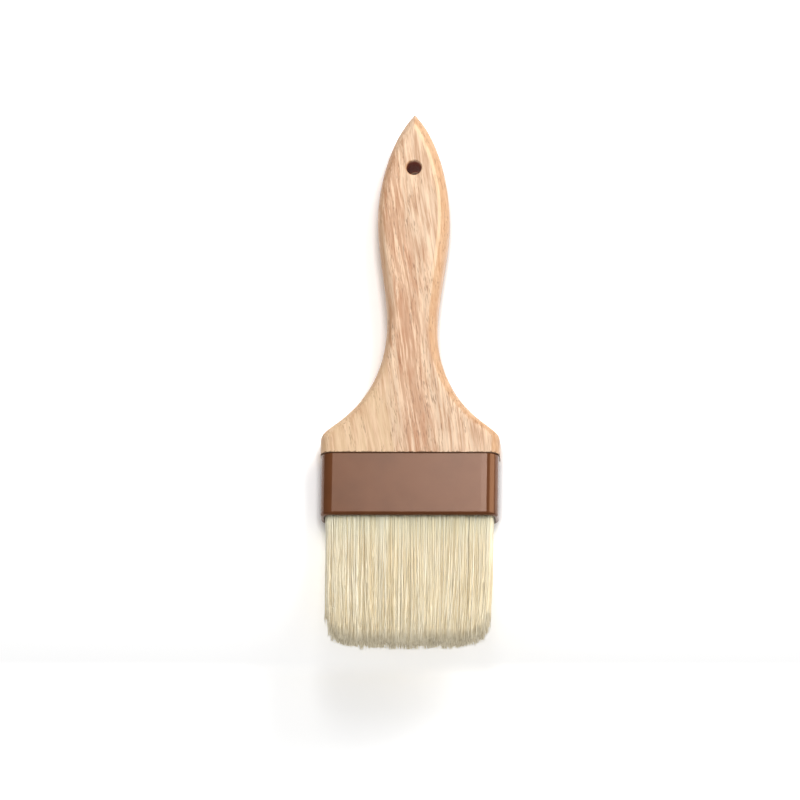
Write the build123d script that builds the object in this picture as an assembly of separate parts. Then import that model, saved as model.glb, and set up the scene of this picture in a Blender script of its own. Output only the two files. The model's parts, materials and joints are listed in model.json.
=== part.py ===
from build123d import *
import math
import os

# A flat pastry brush: a pale hardwood handle with a hanging hole, a moulded plastic ferrule, and two
# layers of natural bristle set in resin either side of a wooden spacer strip.
#
# Millimetres. The origin is at the centre of the hanging hole. +Z runs up the handle to its tip, X is
# across the brush's width, and Y is through its thickness, with the front face towards -Y.

# ---- driving dimensions ----
OVERALL_LENGTH = 235.0  # handle tip to bristle tips
BRISTLE_LENGTH = 56.0  # free length below the ferrule
FERRULE_HEIGHT = 27.3
FERRULE_WIDTH = 75.0
THICKNESS = 16.0  # of the ferrule
WOOD_PROUD = 0.3  # the wood stands this far outside the ferrule all round
HOLE_BELOW_TIP = 24.9
HOLE_RADIUS = 3.25
FLEX_ANGLE = 30.0  # the bristles' bend each way, in degrees

# ---- heights ----
TIP_Z = HOLE_BELOW_TIP
BRISTLE_TIP_Z = TIP_Z - OVERALL_LENGTH
MOUTH_Z = BRISTLE_TIP_Z + BRISTLE_LENGTH
FERRULE_TOP_Z = MOUTH_Z + FERRULE_HEIGHT

# ---- handle ----
BOARD_THICKNESS = THICKNESS + 2 * WOOD_PROUD
SHOULDER_HALF_WIDTH = FERRULE_WIDTH / 2 + WOOD_PROUD
SHOULDER_HEIGHT = 7.8  # straight side between the ferrule and the flare
SHOULDER_ROUNDING = 5.0
EDGE_ROUNDING = 4.6  # the board's long edges
NECK_HALF_WIDTH = 10.7
NECK_HEIGHT = 53.5
BELLY_HALF_WIDTH = 15.1
BELLY_HEIGHT = 106.0
TIP_HALF_ANGLE = 43.0
FLARE_ANGLE = 32.0  # between the brush's axis and the start of the flare
HOLE_EASE = 0.4
# Where the flare, the neck and the taper to the tip pass: half width, height above the ferrule.
FLARE_POINTS = [(31.1, 14.0), (22.6, 22.0), (14.4, 36.0)]
GRIP_POINT = (12.3, 77.0)
TAPER_POINTS = [(12.2, 127.0), (7.6, 140.0)]

# ---- ferrule and what it holds ----
FERRULE_WALL = 1.5
FERRULE_CORNER = 4.9
TOP_RIM_ROUNDING = 0.5
MOUTH_RIM_ROUNDING = 1.2
TANG_DEPTH = 11.0
GLUE_FILM = 0.25  # adhesive between the tang and the ferrule's wall
GLUE_SETBACK = 1.0  # the adhesive stops this far inside the ferrule's upper rim
SETTING_FILM = 0.3  # resin beside and between the bristle roots
SETTING_CAP = 2.0  # resin above the roots
SPACER_THICKNESS = 3.2
SPACER_BEDDING = 1.0  # resin above the spacer strip
LAYER_GAP = 0.4  # between the two free bristle layers
TURN_CLEARANCE = 0.25  # between the flexed bristles and the ferrule's inner edge
ROOT_CLEARANCE = 0.5  # between the free bristles' turning end and the set roots
END_CLEARANCE = 1.0  # between the free bristles and the ferrule's end walls

CAVITY_WIDTH = FERRULE_WIDTH - 2 * FERRULE_WALL
CAVITY_THICKNESS = THICKNESS - 2 * FERRULE_WALL
CAVITY_CORNER = FERRULE_CORNER - FERRULE_WALL
# The flexed bristles' sides touch a circle of this radius about the flexing axis, which is at the mouth.
TURN_RADIUS = (CAVITY_THICKNESS / 2 - TURN_CLEARANCE) * math.cos(math.radians(FLEX_ANGLE))
TANG_END_Z = FERRULE_TOP_Z - TANG_DEPTH
SETTING_END_Z = MOUTH_Z + TURN_RADIUS + ROOT_CLEARANCE
LAYER_INNER_Y = SPACER_THICKNESS / 2 + SETTING_FILM  # the roots' inner face

# ---- free bristles: depth below the mouth, width and thickness of both layers together ----
BRISTLE_SECTIONS = [
    (6.0, CAVITY_WIDTH - 2 * END_CLEARANCE, 2 * TURN_RADIUS),
    (22.0, 72.2, 12.6),
    (46.0, 72.6, 12.2),
    (BRISTLE_LENGTH, 70.4, 9.4),
]
BRISTLE_CORNER = 3.0

FRONT = -1
BACK = 1
TINY = 0.01  # for picking edges and corners by their place


def rounded_block(width, thickness, corner, low_z, high_z):
    """A block between two heights, with its four upright edges rounded."""
    section = Pos(0, 0, low_z) * RectangleRounded(width, thickness, corner)
    return extrude(section, high_z - low_z)


def cavity_block(film, low_z, high_z):
    """A block that fills the ferrule's cavity between two heights, less a film all round."""
    width = CAVITY_WIDTH - 2 * film
    thickness = CAVITY_THICKNESS - 2 * film
    return rounded_block(width, thickness, CAVITY_CORNER - film, low_z, high_z)


def half_space(side, inner_y):
    """Everything further than inner_y from the mid-plane, on the front or the back."""
    middle_y = side * (inner_y + THICKNESS / 2)
    return Pos(0, middle_y, 0) * Box(2 * FERRULE_WIDTH, THICKNESS, 3 * OVERALL_LENGTH)


def handle_outline():
    """The face view of the board, standing on its lower edge: the right half and its mirror image."""
    foot = (SHOULDER_HALF_WIDTH, 0)
    shoulder = (SHOULDER_HALF_WIDTH, SHOULDER_HEIGHT)
    neck = (NECK_HALF_WIDTH, NECK_HEIGHT)
    belly = (BELLY_HALF_WIDTH, BELLY_HEIGHT)
    tip = (0, TIP_Z - FERRULE_TOP_Z)
    flare = math.radians(FLARE_ANGLE)
    point = math.radians(TIP_HALF_ANGLE)
    side = Spline(
        [shoulder, *FLARE_POINTS, neck, GRIP_POINT, belly, *TAPER_POINTS, tip],
        tangents=[(-math.sin(flare), math.cos(flare)), (-math.sin(point), math.cos(point))],
    )
    right = Line((0, 0), foot) + Line(foot, shoulder) + side
    outline = make_face(right + Line(tip, (0, 0)))
    outline = outline + mirror(outline, Plane.YZ)
    corners = [v for v in outline.vertices() if abs(v.Y - SHOULDER_HEIGHT) < TINY]
    return fillet(corners, SHOULDER_ROUNDING)


def make_handle():
    """The board-cut handle with rounded edges, its hanging hole, and the tang inside the ferrule."""
    upright = Pos(0, BOARD_THICKNESS / 2, FERRULE_TOP_Z) * Rot(90, 0, 0)
    board = upright * extrude(handle_outline(), BOARD_THICKNESS)
    faces = board.faces().sort_by(Axis.Y)
    rims = faces[0].edges() + faces[-1].edges()
    board = fillet([e for e in rims if e.center().Z > FERRULE_TOP_Z + TINY], EDGE_ROUNDING)
    board = board - Rot(90, 0, 0) * Cylinder(HOLE_RADIUS, 2 * BOARD_THICKNESS)
    circles = board.edges().filter_by(GeomType.CIRCLE)
    board = chamfer([e for e in circles if abs(e.radius - HOLE_RADIUS) < TINY], HOLE_EASE)
    return board + cavity_block(GLUE_FILM, TANG_END_Z, FERRULE_TOP_Z)


def make_ferrule():
    """The moulded sleeve, open at both ends, with eased rims."""
    shell = rounded_block(FERRULE_WIDTH, THICKNESS, FERRULE_CORNER, MOUTH_Z, FERRULE_TOP_Z)
    shell = fillet(shell.edges().group_by(Axis.Z)[0], MOUTH_RIM_ROUNDING)
    shell = fillet(shell.edges().group_by(Axis.Z)[-1], TOP_RIM_ROUNDING)
    return shell - cavity_block(0, MOUTH_Z, FERRULE_TOP_Z)


def make_tang_adhesive():
    """The film that holds the tang in the ferrule."""
    top_z = FERRULE_TOP_Z - GLUE_SETBACK
    return cavity_block(0, TANG_END_Z, top_z) - cavity_block(GLUE_FILM, TANG_END_Z, top_z)


def make_spacer_strip():
    """The wooden strip that keeps the two bristle layers apart at their roots."""
    height = TANG_END_Z - SPACER_BEDDING - SETTING_END_Z
    middle_z = SETTING_END_Z + height / 2
    return Pos(0, 0, middle_z) * Box(CAVITY_WIDTH - 2 * SETTING_FILM, SPACER_THICKNESS, height)


def make_bristle_roots(side):
    """One layer's root ends, set in the resin."""
    both = cavity_block(SETTING_FILM, SETTING_END_Z, TANG_END_Z - SETTING_CAP)
    return both & half_space(side, LAYER_INNER_Y)


def make_bristle_setting():
    """The resin block, filling the ferrule below the tang around the roots and the strip."""
    block = cavity_block(0, SETTING_END_Z, TANG_END_Z)
    return block - make_spacer_strip() - make_bristle_roots(FRONT) - make_bristle_roots(BACK)


def make_free_bristles(side):
    """One layer's free length. Its upper end is round about the flexing axis, so that it can turn there."""
    sections = [
        Pos(0, 0, MOUTH_Z - depth) * RectangleRounded(width, thickness, BRISTLE_CORNER)
        for depth, width, thickness in BRISTLE_SECTIONS
    ]
    neck_depth, neck_width, neck_thickness = BRISTLE_SECTIONS[0]
    neck = rounded_block(neck_width, neck_thickness, BRISTLE_CORNER, MOUTH_Z - neck_depth, MOUTH_Z)
    turning_end = Pos(0, 0, MOUTH_Z) * Rot(0, 90, 0) * Cylinder(TURN_RADIUS, neck_width)
    return (turning_end + neck + loft(sections, ruled=True)) & half_space(side, LAYER_GAP / 2)


if __name__ == "__main__":
    os.makedirs("parts", exist_ok=True)
    pieces = {
        "handle": make_handle(),
        "ferrule": make_ferrule(),
        "tang_adhesive": make_tang_adhesive(),
        "spacer_strip": make_spacer_strip(),
        "bristle_setting": make_bristle_setting(),
        "front_bristle_roots": make_bristle_roots(FRONT),
        "back_bristle_roots": make_bristle_roots(BACK),
        "front_bristles": make_free_bristles(FRONT),
        "back_bristles": make_free_bristles(BACK),
    }
    for name, piece in pieces.items():
        export_step(piece, f"parts/{name}.step")
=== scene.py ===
import json
import math

import bpy
import numpy as np
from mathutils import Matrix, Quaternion, Vector


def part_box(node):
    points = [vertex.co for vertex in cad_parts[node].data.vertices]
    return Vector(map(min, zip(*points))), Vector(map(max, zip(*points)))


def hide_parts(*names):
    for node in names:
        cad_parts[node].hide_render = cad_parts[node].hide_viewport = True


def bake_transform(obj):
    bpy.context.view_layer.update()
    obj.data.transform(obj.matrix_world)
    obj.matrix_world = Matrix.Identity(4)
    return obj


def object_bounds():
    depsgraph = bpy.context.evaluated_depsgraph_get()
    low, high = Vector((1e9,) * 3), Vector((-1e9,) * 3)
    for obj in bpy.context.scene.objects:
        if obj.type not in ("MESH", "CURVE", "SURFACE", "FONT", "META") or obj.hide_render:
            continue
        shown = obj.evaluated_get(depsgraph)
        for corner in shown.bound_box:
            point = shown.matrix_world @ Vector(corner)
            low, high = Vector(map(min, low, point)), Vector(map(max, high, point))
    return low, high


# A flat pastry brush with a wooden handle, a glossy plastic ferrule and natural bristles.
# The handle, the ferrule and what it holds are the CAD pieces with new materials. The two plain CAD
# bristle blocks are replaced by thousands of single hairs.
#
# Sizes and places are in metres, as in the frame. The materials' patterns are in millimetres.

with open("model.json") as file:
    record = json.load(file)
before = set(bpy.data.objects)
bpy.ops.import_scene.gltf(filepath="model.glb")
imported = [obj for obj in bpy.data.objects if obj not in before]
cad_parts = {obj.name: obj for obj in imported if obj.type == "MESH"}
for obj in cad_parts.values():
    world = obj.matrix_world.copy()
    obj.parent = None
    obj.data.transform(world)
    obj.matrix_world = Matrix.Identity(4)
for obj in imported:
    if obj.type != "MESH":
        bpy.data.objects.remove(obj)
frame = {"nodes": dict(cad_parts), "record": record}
cad_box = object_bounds()

# ---- sizes and places from the frame ----
MM = 0.001
CENTRE = (cad_box[0] + cad_box[1]) / 2
ferrule_low, ferrule_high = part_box("ferrule")
handle_low, handle_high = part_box("handle")
FERRULE_TOP_Z = ferrule_high.z
MOUTH_Z = ferrule_low.z
BRISTLE_TIP_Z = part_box("front_bristles")[0].z
FREE_LENGTH = MOUTH_Z - BRISTLE_TIP_Z
BACK_Y = ferrule_high.y
HANDLE_LENGTH = handle_high.z - FERRULE_TOP_Z
NECK_Z = FERRULE_TOP_Z + 0.35 * HANDLE_LENGTH  # the handle's narrowest place
BELLY_Z = FERRULE_TOP_Z + 0.70 * HANDLE_LENGTH  # and the widest one above it
FERRULE_CORNER = 4.9 * MM  # the radius of the ferrule's upright corners
cavity_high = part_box("tang_adhesive")[1]  # the adhesive lines the ferrule's cavity
mounts = {mount["name"]: mount for mount in frame["record"]["mounts"]}
HOLE_RADIUS = mounts["hang_hole"]["dims"]["r_mm"] * MM


# ---- node building ----
class Material:
    """A node material, with short calls for adding nodes to it."""

    def __init__(self, name):
        self.material = bpy.data.materials.new(name)
        self.material.use_nodes = True
        self.tree = self.material.node_tree
        self.shader = self.tree.nodes["Principled BSDF"]

    def feed(self, socket, value):
        """Links a socket to the input, or sets the input's own value."""
        if isinstance(value, bpy.types.NodeSocket):
            self.tree.links.new(value, socket)
        else:
            socket.default_value = value

    def node(self, kind, inputs=None, **settings):
        """A new node with its settings and inputs filled in."""
        made = self.tree.nodes.new("ShaderNode" + kind)
        for key, value in settings.items():
            setattr(made, key, value)
        for key, value in (inputs or {}).items():
            self.feed(made.inputs[key], value)
        return made

    def position_mm(self):
        """The point on the object, in millimetres."""
        place = self.node("TexCoord").outputs["Object"]
        return self.node("VectorMath", {0: place, 1: (1 / MM,) * 3}, operation="MULTIPLY").outputs[0]

    def parts_of(self, vector):
        """A vector's x, y and z."""
        return self.node("SeparateXYZ", {0: vector}).outputs

    def joined(self, x, y, z):
        """A vector made of its three parts."""
        return self.node("CombineXYZ", {0: x, 1: y, 2: z}).outputs[0]

    def dot(self, vector, axis):
        """How far the vector goes along an axis."""
        return self.node("VectorMath", {0: vector, 1: axis}, operation="DOT_PRODUCT").outputs["Value"]

    def stretched(self, vector, sizes, shift=(0, 0, 0)):
        """The vector divided by a size along each axis, so that noise of scale 1 has features that big."""
        inputs = {"Vector": vector, "Scale": [1 / s for s in sizes], "Location": shift}
        return self.node("Mapping", inputs).outputs[0]

    def noise(self, vector, detail=2.0, roughness=0.5):
        """Soft noise from 0 to 1, mostly near the middle."""
        inputs = {"Vector": vector, "Scale": 1.0, "Detail": detail, "Roughness": roughness}
        return self.node("TexNoise", inputs).outputs[0]

    def ramp(self, value, stops):
        """A colour ramp through (place, colour) stops."""
        made = self.node("ValToRGB", {0: value})
        elements = made.color_ramp.elements
        while len(elements) < len(stops):
            elements.new(0.5)
        for element, (place, colour) in zip(elements, stops):
            element.position = place
            element.color = colour
        return made.outputs[0]

    def between(self, value, low, high, to_low=0.0, to_high=1.0):
        """The value taken from one range to another, smoothly and clamped."""
        inputs = {"Value": value, "From Min": low, "From Max": high, "To Min": to_low, "To Max": to_high}
        return self.node("MapRange", inputs, interpolation_type="SMOOTHSTEP").outputs[0]

    def maths(self, operation, a, b=0.0):
        """Two numbers combined."""
        return self.node("Math", {0: a, 1: b}, operation=operation).outputs[0]

    def mix(self, share, a, b):
        """Two colours mixed, with a share of the second."""
        return self.node("Mix", {0: share, 6: a, 7: b}, data_type="RGBA").outputs[2]

    def bump(self, height, distance_mm, strength=1.0):
        """A normal that follows a height."""
        inputs = {"Height": height, "Distance": distance_mm * MM, "Strength": strength}
        return self.node("Bump", inputs).outputs[0]

    def finish(self, colour, roughness, normal, **others):
        """Sets the main shader's inputs and gives the material back."""
        inputs = {"Base Color": colour, "Roughness": roughness, "Normal": normal}
        for key, value in others.items():
            inputs[key.replace("_", " ")] = value
        for key, value in inputs.items():
            if value is not None:
                self.feed(self.shader.inputs[key], value)
        return self.material


def srgb(red, green, blue):
    """A linear, opaque colour from 0-255 screen values."""
    parts = []
    for part in (red, green, blue):
        share = part / 255
        parts.append(share / 12.92 if share <= 0.04045 else ((share + 0.055) / 1.055) ** 2.4)
    return (*parts, 1)


def brighter(colour, factor):
    """The colour multiplied, up to white."""
    return tuple(min(1.0, factor * part) for part in colour)


# ---- wood ----
GRAIN_TILT = math.radians(7.5)  # the grain leans to the left as it rises


def wood_material(name, pale, band_tone, golden, side, streak, pore, band):
    """Sanded pale hardwood. A darker band, soft streaks and short fine pores all run along the grain."""
    m = Material(name)
    place = m.position_mm()
    x, y, z = m.parts_of(place)
    across, grain = grain_position(m, place, y)
    colour, spread = broad_tones(m, across, grain, pale, band_tone, golden, band)

    # Streaks one or two millimetres wide, dark and light, and fainter in the golden part.
    lively = m.between(spread, band[0] - 6, band[0], 0.45, 1.0)
    bands = m.noise(m.stretched(grain, (1.6, 1.6, 26), (0, 5.2, 0)), 3.0, 0.6)
    streaks = m.noise(m.stretched(grain, (0.7, 0.7, 11), (4.4, 0, 1.0)), 4.0, 0.65)
    light_streaks = m.noise(m.stretched(grain, (1.3, 1.3, 20), (9.4, 2.0, 6.0)), 3.0, 0.6)
    for tones, low, high, most, tone in (
        (bands, 0.44, 0.68, 0.65, streak),
        (light_streaks, 0.46, 0.64, 0.75, brighter(pale, 1.25)),
        (streaks, 0.46, 0.72, 0.70, streak),
    ):
        share = m.maths("MULTIPLY", m.between(tones, low, high, 0.0, most), lively)
        colour = m.mix(share, colour, tone)
    # The rounded edges get a painted highlight on the right, and a deeper tone that is partly painted shade.
    colour = rounded_edges(m, z, colour, brighter(golden, 1.3), side)

    # Pores finer than a pencil line, in patches.
    flecks = m.noise(m.stretched(grain, (0.34, 0.34, 3.2), (7.7, 0, 2.2)), 1.0, 0.4)
    patches = m.noise(m.stretched(grain, (4, 4, 16), (0, 1.7, 9.1)), 1.0)
    pores = m.maths("MULTIPLY", m.between(flecks, 0.56, 0.70), m.between(patches, 0.42, 0.58))
    colour = m.mix(m.maths("MULTIPLY", pores, 0.5), colour, pore)

    colour = hole_shade(m, x, y, z, colour)
    colour = glue_and_gap_shade(m, place, z, colour)
    handled = m.noise(m.stretched(place, (18, 18, 30)))
    polish = m.between(handled, 0.35, 0.65, -0.05, 0.05)
    roughness = m.maths("ADD", m.between(streaks, 0.3, 0.7, 0.42, 0.54), polish)
    height = m.maths("SUBTRACT", m.maths("MULTIPLY", streaks, 0.6), pores)
    return m.finish(colour, roughness, m.bump(height, 0.05, 0.5), Specular_IOR_Level=0.4)


def grain_position(m, place, y):
    """How far across the grain a point is, and the point in the leaning, gently swaying grain's own axes."""
    across = m.dot(place, (math.cos(GRAIN_TILT), 0, math.sin(GRAIN_TILT)))
    upward = m.dot(place, (-math.sin(GRAIN_TILT), 0, math.cos(GRAIN_TILT)))
    sway = m.noise(m.stretched(m.joined(across, y, upward), (20, 20, 60)))
    across = m.maths("ADD", across, m.between(sway, 0.2, 0.8, -1.1, 1.1))
    return across, m.joined(across, y, upward)


def broad_tones(m, across, grain, pale, band_tone, golden, band):
    """A golden part, then a darker band with ragged edges, then the pale part, with soft blotches."""
    ragged = m.noise(m.stretched(grain, (2.5, 2.5, 34), (3.1, 0.4, 0)), 3.0, 0.6)
    spread = m.maths("ADD", across, m.between(ragged, 0.25, 0.75, -4.0, 4.0))
    left, right = band
    in_band = m.maths("MULTIPLY", m.between(spread, left, left + 4), m.between(spread, right, right - 4))
    blotches = m.noise(m.stretched(grain, (4, 4, 16), (2.0, 6.0, 0)))
    colour = m.mix(m.between(spread, left, left - 8), pale, golden)
    colour = m.mix(m.maths("MULTIPLY", in_band, m.between(blotches, 0.3, 0.6, 1.0, 0.6)), colour, band_tone)
    return m.mix(m.between(blotches, 0.45, 0.7, 0.0, 0.35), colour, band_tone), spread


def rounded_edges(m, z, colour, ridge_highlight_tone, side):
    """The sanded edges: a painted highlight, a pale ridge down the right one above the neck, and a deeper
    tone on both sides, partly their own side grain and partly painted shade.
    """
    facing = m.parts_of(m.node("TexCoord").outputs["Normal"])[0]  # 0 on the faces, 1 on the right side
    # Painted highlight: a pale strip where the right rounding starts, standing in for the light from the
    # right.
    painted_ridge_highlight = m.maths("MULTIPLY", m.between(facing, 0.0, 0.05), m.between(facing, 0.40, 0.20))
    painted_ridge_highlight = m.maths("MULTIPLY", painted_ridge_highlight, m.between(z, NECK_Z / MM, BELLY_Z / MM, 0.0, 0.6))
    colour = m.mix(painted_ridge_highlight, colour, ridge_highlight_tone)
    # The sides' deeper tone: partly the side grain's own colour, partly painted shade where the rounding
    # turns away from the light.
    colour = m.mix(m.between(facing, 0.20, 0.36, 0.0, 0.6), colour, side)
    return m.mix(m.between(facing, -0.3, -0.8, 0.0, 0.5), colour, side)


def hole_shade(m, x, y, z, colour):
    """Darkens the drilled hole's wall, partly its end grain's own darker tone and partly painted shade. It
    darkens slowly from the front rim, and quickly from the back.
    """
    out = m.maths("SQRT", m.maths("ADD", m.maths("MULTIPLY", x, x), m.maths("MULTIPLY", z, z)))
    inside = m.between(out, HOLE_RADIUS / MM + 0.5, HOLE_RADIUS / MM + 0.1)
    front, back = handle_low.y / MM, handle_high.y / MM
    deep = m.maths("MULTIPLY", m.between(y, front + 0.6, front + 3.4), m.between(y, back - 0.2, back - 0.9))
    # Painted shade inside the hole, on top of the end grain's darker tone.
    return m.mix(m.maths("MULTIPLY", inside, deep), colour, srgb(156, 74, 24))


def glue_and_gap_shade(m, place, z, colour):
    """An uneven dark line where the wood enters the ferrule: partly glue and grime in the joint, partly
    painted shade of the gap.
    """
    uneven = m.noise(m.stretched(place, (1.4, 1.4, 1.4)), 3.0, 0.7)
    edge = m.maths("SUBTRACT", z, FERRULE_TOP_Z / MM)
    edge = m.maths("SUBTRACT", edge, m.between(uneven, 0.4, 0.7, 0.0, 0.55))
    # The line's darkness: partly glue and grime, partly painted shade of the gap.
    return m.mix(m.between(edge, 0.25, 0.0, 0.0, 0.8), colour, srgb(100, 64, 40))


# ---- plastic ----
SINK_WIDTH = 2.2 * MM  # the strip at the faces' right end that sinks a little
SINK_SLOPE = 0.035
WARM_SHEEN = (1.0, 0.74, 0.62, 1)  # tints what the plastic mirrors


def plastic_material(name, colour, darker):
    """Glossy moulded plastic: a little cloudy and scuffed, with flat faces that sink at their right end."""
    m = Material(name)
    place = m.position_mm()
    cloud = m.noise(m.stretched(place, (14, 14, 14)), 3.0)
    tone = m.mix(m.between(cloud, 0.3, 0.7), colour, darker)
    scuffs = m.noise(m.stretched(place, (6.0, 0.5, 0.22), (0, 0, 4.0)), 4.0, 0.7)
    speckle = m.noise(m.stretched(place, (0.35, 0.35, 0.35)))
    dull = m.between(speckle, 0.4, 0.7, 0.0, 0.03)
    roughness = m.maths("ADD", m.between(scuffs, 0.5, 0.8, 0.15, 0.26), dull)
    waves = m.noise(m.stretched(place, (18, 9, 12)), 1.0)
    sink_start = (ferrule_high.x - FERRULE_CORNER - SINK_WIDTH) / MM
    past = m.maths("SUBTRACT", m.parts_of(place)[0], sink_start)
    sink = m.maths("MULTIPLY", m.maths("MAXIMUM", past, 0.0), -SINK_SLOPE)
    height = m.maths("ADD", m.maths("MULTIPLY", waves, 0.03), m.maths("MULTIPLY", speckle, 0.0012))
    height = m.maths("ADD", height, sink)
    return m.finish(tone, roughness, m.bump(height, 1.0), Specular_IOR_Level=0.55, Specular_Tint=WARM_SHEEN)


# ---- bristle ----
def bristle_material(name):
    """Natural bristle: each hair has its own tone. It is greyer at its root, partly staining and partly
    painted shade beneath the ferrule, and darker at its tip, partly wear and partly painted shade among the
    tips.
    """
    m = Material(name)
    shade = m.node("Attribute", attribute_name="shade").outputs["Fac"]
    along = m.node("Attribute", attribute_name="along").outputs["Fac"]
    place = m.position_mm()
    patches = m.noise(m.stretched(place, (5, 5, 24)))
    mottle = m.noise(m.stretched(place, (0.3, 0.3, 2.5)))
    own = m.maths("ADD", shade, m.maths("MULTIPLY", m.maths("SUBTRACT", patches, 0.5), 0.7))
    colour = m.ramp(
        own,
        [
            (0.0, srgb(220, 200, 160)),
            (0.25, srgb(235, 219, 182)),
            (0.5, srgb(243, 232, 204)),
            (1.0, srgb(251, 245, 226)),
        ],
    )
    colour = m.mix(m.between(mottle, 0.45, 0.75, 0.0, 0.2), colour, srgb(216, 198, 160))
    # Greyer near the root: partly staining, partly painted shade beneath the ferrule.
    colour = m.mix(m.between(along, 0.35, 0.05, 0.0, 0.4), colour, srgb(206, 206, 180))
    # Darker at the tips: partly wear, partly painted shade between the thinning tips.
    tip_wear_and_shade = m.maths("MULTIPLY", m.between(along, 0.9, 1.0), m.between(own, 0.2, 0.6, 0.7, 0.0))
    colour = m.mix(tip_wear_and_shade, colour, srgb(160, 150, 128))
    return m.finish(colour, m.between(along, 0.6, 1.0, 0.40, 0.60), None, Specular_IOR_Level=0.5)


def root_material(name):
    """Bristle ends soaked in resin: fine upright fibres."""
    m = Material(name)
    fibres = m.noise(m.stretched(m.position_mm(), (0.22, 0.22, 9)))
    colour = m.mix(m.between(fibres, 0.35, 0.65), srgb(176, 148, 104), srgb(226, 206, 164))
    return m.finish(colour, m.between(fibres, 0.3, 0.7, 0.4, 0.6), m.bump(fibres, 0.1, 0.8))


def resin_material(name, colour, darker):
    """Cured resin or adhesive: amber, with small bubbles."""
    m = Material(name)
    place = m.position_mm()
    cloud = m.noise(m.stretched(place, (3, 3, 3)), 3.0)
    tone = m.mix(m.between(cloud, 0.35, 0.65), colour, darker)
    bubbles = m.node("TexVoronoi", {"Vector": place, "Scale": 1.1}).outputs["Distance"]
    height = m.between(bubbles, 0.08, 0.22)
    return m.finish(tone, m.between(cloud, 0.3, 0.7, 0.22, 0.34), m.bump(height, 0.08, 0.5))


# ---- hairs ----
HAIRS_A_SIDE = 5000
STATIONS = 7  # rings of points along each hair
CORNERS = 3  # points in each ring
HAIR_RADIUS = 0.155 * MM
ROOT_DEPTH = 2.5 * MM  # how far above the mouth the hairs start
ROOT_JITTER = 0.45  # of the spacing between roots
MOUTH_MARGIN = 0.3 * MM  # between the outermost hairs and the ferrule's inner wall
PACK_HALF_WIDTH = cavity_high.x - MOUTH_MARGIN
PACK_HALF_THICKNESS = cavity_high.y - MOUTH_MARGIN
PACK_CORNER = 0.55 * PACK_HALF_THICKNESS
SQUEEZE = 0.018  # the pack narrows by this share just below the mouth,
TAPER = 0.03  # and by this much more towards the tips, where it also grows thinner
SWELL = 0.05  # and it grows thicker by this share below the mouth
LOCKS = 260  # groups of hairs that lean together, on each side
LOCK_LEAN = (0.55 * MM, 0.35 * MM)  # across the width and through the thickness, at the tips
WAVE = (0.45 * MM, 0.30 * MM)  # of single hairs, in the same two directions
SIDE_TRIM = 3 * MM  # how much shorter the hairs are towards the pack's ends,
CORNER_TRIM = 10 * MM  # and how much more at its very ends
LOCK_TRIM = 1.8 * MM  # the most by which one whole lock is shorter
SHORT_SHARE = 0.25  # of the hairs end early,
SHORT_TRIM = 8 * MM  # by up to this much
MOST_TRIM = 12 * MM
UV_INSET = 0.15  # the empty rim of each hair's cell in the UV map, as a share of the cell
# the exporter paints its textures through the UV map of this name
BAKE_MAP = "OFBake"  # the name of the UV map that gives each hair its own cell


def smooth(value):
    """From 0 to 1 with soft ends."""
    value = np.clip(value, 0.0, 1.0)
    return value * value * (3 - 2 * value)


def hair_roots(rng, side):
    """Root places on a jittered grid that fills one side's half of the ferrule's mouth."""
    count, half_width, half_thickness = HAIRS_A_SIDE, PACK_HALF_WIDTH, PACK_HALF_THICKNESS
    spacing = math.sqrt(2 * half_width * half_thickness / count)
    columns = round(2 * half_width / spacing)
    rows = math.ceil(count / columns)
    index = np.arange(count)
    x = ((index % columns) + 0.5 * ((index // columns) % 2) + 0.25) / columns * 2 - 1
    y = (index // columns + 0.5) / rows
    x = x * half_width + rng.uniform(-ROOT_JITTER, ROOT_JITTER, count) * spacing
    y = y * half_thickness + rng.uniform(-ROOT_JITTER, ROOT_JITTER, count) * spacing
    x = np.clip(x, -half_width, half_width)
    y = np.clip(y, 0.0, half_thickness)

    # The outer corners follow the rounded corner of the ferrule's cavity.
    past_x = np.maximum(np.abs(x) - (half_width - PACK_CORNER), 0)
    past_y = np.maximum(y - (half_thickness - PACK_CORNER), 0)
    past = np.hypot(past_x, past_y)
    pull = np.where(past > PACK_CORNER, PACK_CORNER / np.maximum(past, 1e-9), 1.0)
    x = np.sign(x) * (np.abs(x) - past_x * (1 - pull))
    y = y - past_y * (1 - pull)
    return x, side * y


def gather(rng, side, x, y, along):
    """The hairs' sideways paths, and each hair's lock. A lock leans as one and draws closer at its tip."""
    lock_x = rng.uniform(-PACK_HALF_WIDTH, PACK_HALF_WIDTH, LOCKS)
    lock_y = side * rng.uniform(0, PACK_HALF_THICKNESS, LOCKS)
    far = np.hypot(x[:, None] - lock_x[None, :], 1.3 * (y[:, None] - lock_y[None, :]))
    lock = far.argmin(1)
    lean_x = rng.normal(0, LOCK_LEAN[0], LOCKS)[lock]
    lean_y = rng.normal(0, LOCK_LEAN[1], LOCKS)[lock]
    draw = rng.uniform(0.15, 0.6, LOCKS)[lock]

    wide = 1 - SQUEEZE * smooth(along / 0.25) - TAPER * smooth((along - 0.5) / 0.5)
    deep = 1 + SWELL * smooth(along / 0.4) - TAPER * smooth((along - 0.7) / 0.3)
    pull = draw[:, None] * along**1.6
    path_x = x[:, None] * wide + (lock_x[lock] - x)[:, None] * pull + lean_x[:, None] * along**1.5
    path_y = y[:, None] * deep + (lock_y[lock] - y)[:, None] * pull + lean_y[:, None] * along**1.5
    return path_x, path_y, lock


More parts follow.
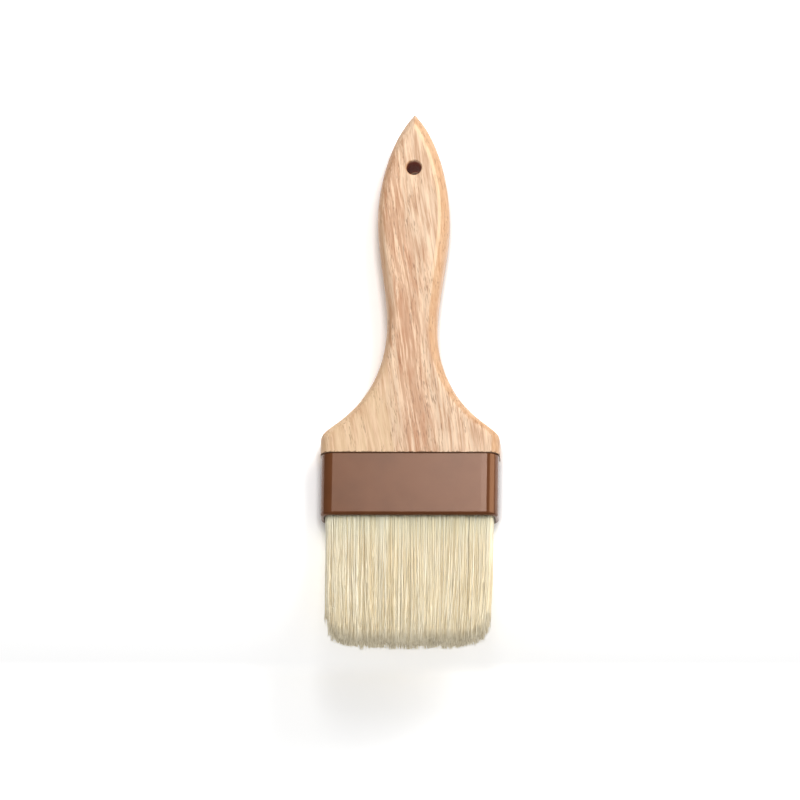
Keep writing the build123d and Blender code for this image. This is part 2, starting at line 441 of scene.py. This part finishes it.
def add_waves(rng, x, path_x, path_y, along):
    """Adds each hair's own waviness and its flick at the tip, both smaller at the pack's ends."""
    inward = 1 - 0.75 * smooth((np.abs(x) / PACK_HALF_WIDTH - 0.9) / 0.1)[:, None]
    each = (HAIRS_A_SIDE, 1)
    for path, size in ((path_x, WAVE[0]), (path_y, WAVE[1])):
        turns = rng.uniform(0.3, 1.3, each)
        phase = rng.uniform(0, 2 * math.pi, each)
        wave = np.sin(2 * math.pi * turns * along + phase) - np.sin(phase)
        path += inward * rng.normal(0, size, each) * wave * along
        path += inward * rng.normal(0, 1.6 * size, each) * along**2


def tip_heights(rng, x, lock):
    """Where the hairs end: at full length in the middle, shorter at the pack's ends, and some short ones."""
    count = HAIRS_A_SIDE
    out = np.abs(x) / PACK_HALF_WIDTH
    trim = SIDE_TRIM * np.clip((out - 0.6) / 0.4, 0, 1)
    trim += CORNER_TRIM * np.clip((out - 0.82) / 0.18, 0, 1) ** 3
    trim += rng.exponential(0.4 * MM, count)
    trim += rng.uniform(0, LOCK_TRIM, LOCKS)[lock]
    trim += np.where(rng.random(count) < SHORT_SHARE, rng.uniform(0, SHORT_TRIM, count), 0)
    return BRISTLE_TIP_Z + np.minimum(trim, MOST_TRIM)


def hair_paths(rng, side):
    """Centre points by hair, station and xyz, and how far along its hair each point is."""
    along = 1 - np.linspace(1, 0, STATIONS)[None, :] ** 1.3  # the rings are closer together near the tip
    x, y = hair_roots(rng, side)
    path_x, path_y, lock = gather(rng, side, x, y, along)
    add_waves(rng, x, path_x, path_y, along)
    root_z = MOUTH_Z + ROOT_DEPTH
    path_z = root_z + (tip_heights(rng, x, lock) - root_z)[:, None] * along
    return np.stack([path_x, path_y, path_z], axis=2), np.broadcast_to(along, path_z.shape)


def hair_points(rng, paths, along):
    """A ring of points round each centre point, smaller towards the tip."""
    own_radius = HAIR_RADIUS * rng.uniform(0.8, 1.15, (HAIRS_A_SIDE, 1))
    radius = own_radius * (1 - 0.15 * along) * (1 - 0.6 * smooth((along - 0.85) / 0.15))
    turn = rng.uniform(0, 2 * math.pi, (HAIRS_A_SIDE, 1, 1))
    angle = turn + np.arange(CORNERS)[None, None, :] * 2 * math.pi / CORNERS
    points = np.repeat(paths[:, :, None, :], CORNERS, axis=2)
    points[..., 0] += radius[:, :, None] * np.cos(angle)
    points[..., 1] += radius[:, :, None] * np.sin(angle)
    return points


def one_hair():
    """One hair's triangles, wound to face outwards, and their corners in its cell of the UV map."""
    triangles = []
    cells = []
    for station in range(STATIONS - 1):
        for corner in range(CORNERS):
            low, high = station * CORNERS + corner, (station + 1) * CORNERS + corner
            step = (corner + 1) % CORNERS - corner
            u0, u1 = corner / CORNERS, (corner + 1) / CORNERS
            v0, v1 = station / (STATIONS - 1), (station + 1) / (STATIONS - 1)
            triangles += [[low, high, high + step], [low, high + step, low + step]]
            cells += [[(u0, v0), (u0, v1), (u1, v1)], [(u0, v0), (u1, v1), (u1, v0)]]

    # The two ends take a sliver of the cell's first and last strips.
    last = (STATIONS - 1) * CORNERS
    triangles += [[0, 1, 2], [last, last + 2, last + 1]]
    cells += [[(0, 0), (0.3, 0), (0, 0.02)], [(0, 1), (0.3, 1), (0, 0.98)]]
    return np.array(triangles), np.array(cells)


def hair_mesh(name, points):
    """All the hairs as one mesh, with a cell of the UV map for each hair."""
    count, ring_points = HAIRS_A_SIDE, STATIONS * CORNERS
    triangles, cells = one_hair()
    faces = (triangles[None] + np.arange(count)[:, None, None] * ring_points).reshape(-1, 3)
    mesh = bpy.data.meshes.new(name)
    mesh.vertices.add(count * ring_points)
    mesh.vertices.foreach_set("co", points.astype(np.float32).ravel())
    mesh.loops.add(faces.size)
    mesh.loops.foreach_set("vertex_index", faces.astype(np.int32).ravel())
    mesh.polygons.add(len(faces))
    mesh.polygons.foreach_set("loop_start", np.arange(0, faces.size, 3, dtype=np.int32))
    mesh.polygons.foreach_set("use_smooth", np.ones(len(faces), bool))
    mesh.update(calc_edges=True)

    across = math.ceil(math.sqrt(count))
    column = (np.arange(count) % across)[:, None, None]
    row = (np.arange(count) // across)[:, None, None]
    u = (column + UV_INSET + (1 - 2 * UV_INSET) * cells[None, :, :, 0]) / across
    v = (row + UV_INSET + (1 - 2 * UV_INSET) * cells[None, :, :, 1]) / across
    layer = mesh.uv_layers.new(name=BAKE_MAP)
    layer.data.foreach_set("uv", np.stack([u, v], axis=3).astype(np.float32).ravel())
    return mesh


def build_hairs(name, side, seed):
    """One layer of bristle as closed, tapering, three-sided hairs."""
    rng = np.random.default_rng(seed)
    paths, along = hair_paths(rng, side)
    mesh = hair_mesh(name, hair_points(rng, paths, along))
    shade = np.clip(rng.normal(0.5, 0.2, HAIRS_A_SIDE), 0, 1)
    for key, values in (
        ("shade", np.repeat(shade, STATIONS * CORNERS)),
        ("along", np.repeat(along.ravel(), CORNERS)),
    ):
        attribute = mesh.attributes.new(key, "FLOAT", "POINT")
        attribute.data.foreach_set("value", values.astype(np.float32))
    piece = bpy.data.objects.new(name, mesh)
    bpy.context.scene.collection.objects.link(piece)
    return piece


# ---- materials on the CAD pieces ----
handle_wood = wood_material(
    name="handle_wood",
    pale=srgb(224, 194, 164),
    band_tone=srgb(198, 148, 114),
    golden=srgb(222, 190, 152),
    side=srgb(196, 146, 100),
    streak=srgb(182, 132, 96),
    pore=srgb(122, 80, 54),
    band=(-19, -4),
)
spacer_wood = wood_material(
    name="spacer_wood",
    pale=srgb(206, 178, 138),
    band_tone=srgb(196, 158, 122),
    golden=srgb(200, 168, 120),
    side=srgb(196, 160, 116),
    streak=srgb(170, 130, 92),
    pore=srgb(112, 78, 52),
    band=(-60, -45),
)
hair = bristle_material("bristle_hair")
roots = root_material("bristle_roots")
for node, material in {
    "handle": handle_wood,
    "ferrule": plastic_material("ferrule_plastic", srgb(104, 62, 36), srgb(95, 56, 32)),
    "spacer_strip": spacer_wood,
    "bristle_setting": resin_material("setting_resin", srgb(150, 108, 56), srgb(112, 76, 36)),
    "tang_adhesive": resin_material("tang_glue", srgb(206, 190, 150), srgb(186, 166, 122)),
    "front_bristle_roots": roots,
    "back_bristle_roots": roots,
}.items():
    for slot in frame["nodes"][node].material_slots:
        slot.material = material

# ---- bristles ----
hairs = []
for name, node, side, seed in (
    ("front_bristle_hairs", "front_bristles", -1, 11),
    ("back_bristle_hairs", "back_bristles", 1, 12),
):
    piece = build_hairs(name, side, seed)
    piece.data.materials.append(hair)
    hairs.append(piece)
    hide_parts(node)
    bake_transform(piece)


# ---- stage ----
CONTACT_REACH = 4.5 * MM  # of the dark contact shade beside and behind the brush
CARD_GAP = 0.2 * MM  # between the card and the brush's back
CARD_BOW = 33 * MM  # how far the card bows away at the bristles' tips
CARD_STEPS = 12
CARD_REACH = 0.6  # to each side, above and below
FLOOR_GAP = 0.3 * MM  # below the bristles' tips
FLOOR_REACH = 4 * CARD_REACH


def one_sided_white(name, overexposure):
    """A matte sheet, unseen from behind, and brighter than white so that only deeper shade shows on it. Its
    colour darkens where the brush is near: painted contact shade.
    """
    m = Material(name)
    # Painted contact shade: the sheet's colour darkens within CONTACT_REACH of the brush.
    open_air = m.node("AmbientOcclusion", {"Distance": CONTACT_REACH}).outputs["AO"]
    shade = m.mix(open_air, (0, 0, 0, 1), (overexposure, overexposure, overexposure, 1))
    white = m.node("BsdfDiffuse", {"Color": shade}).outputs[0]
    clear = m.node("BsdfTransparent").outputs[0]
    behind = m.node("NewGeometry").outputs["Backfacing"]
    mixed = m.node("MixShader", {0: behind, 1: white, 2: clear}).outputs[0]
    m.feed(m.tree.nodes["Material Output"].inputs["Surface"], mixed)
    return m.material


def sheet(name, profile, half_width, material):
    """A sheet across X that follows a profile of (y, z) points. It throws no shadow and lights nothing."""
    points = [(x, y, z) for y, z in profile for x in (-half_width, half_width)]
    faces = [(2 * i, 2 * i + 1, 2 * i + 3, 2 * i + 2) for i in range(len(profile) - 1)]
    mesh = bpy.data.meshes.new(name)
    mesh.from_pydata(points, [], faces)
    mesh.materials.append(material)
    for face in mesh.polygons:
        face.use_smooth = True
    made = bpy.data.objects.new(name, mesh)
    made.visible_diffuse = False
    made.visible_transmission = False
    made.visible_shadow = False
    bpy.context.scene.collection.objects.link(made)
    return made


def card_profile():
    """A card stands against the brush's back, and bows away below the ferrule to leave the bristles room."""
    flat_y = BACK_Y + CARD_GAP
    shares = [k / CARD_STEPS for k in range(CARD_STEPS + 1)]
    bowed = [(flat_y + CARD_BOW * share**2, MOUTH_Z - FREE_LENGTH * share) for share in shares]
    return [(flat_y + CARD_BOW, BRISTLE_TIP_Z - CARD_REACH), *reversed(bowed), (flat_y, CARD_REACH)]


sheet("backdrop_card", card_profile(), CARD_REACH, one_sided_white("card_white", 1.46))
floor_z = BRISTLE_TIP_Z - FLOOR_GAP
floor_profile = [(-FLOOR_REACH, floor_z), (BACK_Y + CARD_GAP + CARD_BOW, floor_z)]
floor = sheet("floor", floor_profile, FLOOR_REACH, one_sided_white("floor_white", 1.7))
floor.visible_glossy = False  # the ferrule's lower rim mirrors the bristles, and not the floor


# ---- light ----
WARM = (1.0, 0.76, 0.53)
WORLD_FILL = 0.62  # the surroundings' brightness where they light things,
WORLD_MIRRORED = 0.1  # and where things mirror them


def direction(azimuth, elevation):
    """A unit vector from the brush: azimuth 0 is straight out of its front, and 90 is to its right."""
    a, e = math.radians(azimuth), math.radians(elevation)
    return Vector((math.sin(a) * math.cos(e), -math.cos(a) * math.cos(e), math.sin(e)))


def soft_light(name, azimuth, elevation, distance, size, power):
    """A rectangular soft light that faces the brush and that the camera can't see."""
    light = bpy.data.lights.new(name, "AREA")
    light.shape = "RECTANGLE"
    light.size, light.size_y = size
    light.energy = power
    made = bpy.data.objects.new(name, light)
    towards = direction(azimuth, elevation)
    made.location = CENTRE + towards * distance
    made.rotation_mode = "QUATERNION"
    made.rotation_quaternion = towards.to_track_quat("Z", "Y")
    made.visible_camera = False
    bpy.context.scene.collection.objects.link(made)
    return made


def brighten_to_right(light, growth):
    """Makes a light stronger towards its right side by a factor, with the same power."""
    light.data.use_nodes = True
    tree = light.data.node_tree
    across = tree.nodes.new("ShaderNodeSeparateXYZ")
    tree.links.new(tree.nodes.new("ShaderNodeNewGeometry").outputs["Parametric"], across.inputs[0])
    strength = tree.nodes.new("ShaderNodeMapRange")
    strength.inputs["To Min"].default_value = 2 / (1 + growth)
    strength.inputs["To Max"].default_value = 2 * growth / (1 + growth)
    tree.links.new(across.outputs[0], strength.inputs["Value"])
    tree.links.new(strength.outputs[0], tree.nodes["Emission"].inputs["Strength"])


def light_hairs_only(light):
    """Makes a light reach the hairs alone, without shadows or reflections."""
    light.visible_glossy = False
    light.data.use_shadow = False
    lit_hairs = bpy.data.collections.new("lit_hairs")
    for piece in hairs:
        lit_hairs.objects.link(piece)
    light.light_linking.receiver_collection = lit_hairs


def set_world():
    """White to the camera, dim in reflections, and an even soft fill for everything else."""
    world = bpy.data.worlds.new("studio")
    world.use_nodes = True
    tree = world.node_tree
    background = tree.nodes["Background"]
    path = tree.nodes.new("ShaderNodeLightPath")
    fill = tree.nodes.new("ShaderNodeMapRange")
    tree.links.new(path.outputs["Is Glossy Ray"], fill.inputs["Value"])
    fill.inputs["To Min"].default_value = WORLD_FILL
    fill.inputs["To Max"].default_value = WORLD_MIRRORED
    seen = tree.nodes.new("ShaderNodeMath")
    seen.operation = "MAXIMUM"
    tree.links.new(path.outputs["Is Camera Ray"], seen.inputs[0])
    tree.links.new(fill.outputs[0], seen.inputs[1])
    tree.links.new(seen.outputs[0], background.inputs["Strength"])
    background.inputs["Color"].default_value = (1, 1, 1, 1)
    bpy.context.scene.world = world


# The ferrule's face mirrors the front box, and its right corner mirrors the right strip.
front_box = soft_light("front_box", azimuth=-0.5, elevation=20, distance=0.7, size=(0.19, 0.25), power=0.85)
brighten_to_right(front_box, growth=7)
right_strip = soft_light("right_strip", azimuth=57, elevation=12, distance=0.6, size=(0.48, 0.5), power=3.3)
right_strip.data.color = WARM
right_strip.visible_diffuse = False
key = soft_light("key", azimuth=42, elevation=36, distance=0.9, size=(0.5, 0.5), power=6.2)
key.visible_glossy = False
soft_light("back_box", azimuth=190, elevation=12, distance=0.9, size=(1.2, 0.7), power=6.0)

# Light that scatters from hair to hair, which would take too many bounces to trace.
scatter = soft_light("bristle_scatter", azimuth=50, elevation=-20, distance=0.8, size=(0.5, 0.5), power=2.3)
light_hairs_only(scatter)
set_world()
bpy.context.scene.view_settings.view_transform = "Standard"

# ---- camera ----
CAMERA_AZIMUTH = 2.6
CAMERA_ELEVATION = -18.0
CAMERA_ROLL = math.radians(0.85)
CAMERA_DISTANCE = 6.0
CAMERA_LENS = 639.0  # for a sensor 36 mm wide
CAMERA_AIM = CENTRE + Vector((-4.8 * MM, 0, -8.45 * MM))
camera = bpy.data.objects.new("camera", bpy.data.cameras.new("camera"))
towards_camera = direction(CAMERA_AZIMUTH, CAMERA_ELEVATION)
camera.location = CAMERA_AIM + towards_camera * CAMERA_DISTANCE
camera.rotation_mode = "QUATERNION"
camera.rotation_quaternion = towards_camera.to_track_quat("Z", "Y") @ Quaternion((0, 0, 1), CAMERA_ROLL)
camera.data.lens = CAMERA_LENS
camera.data.clip_end = 20
bpy.context.scene.collection.objects.link(camera)
bpy.context.scene.camera = camera
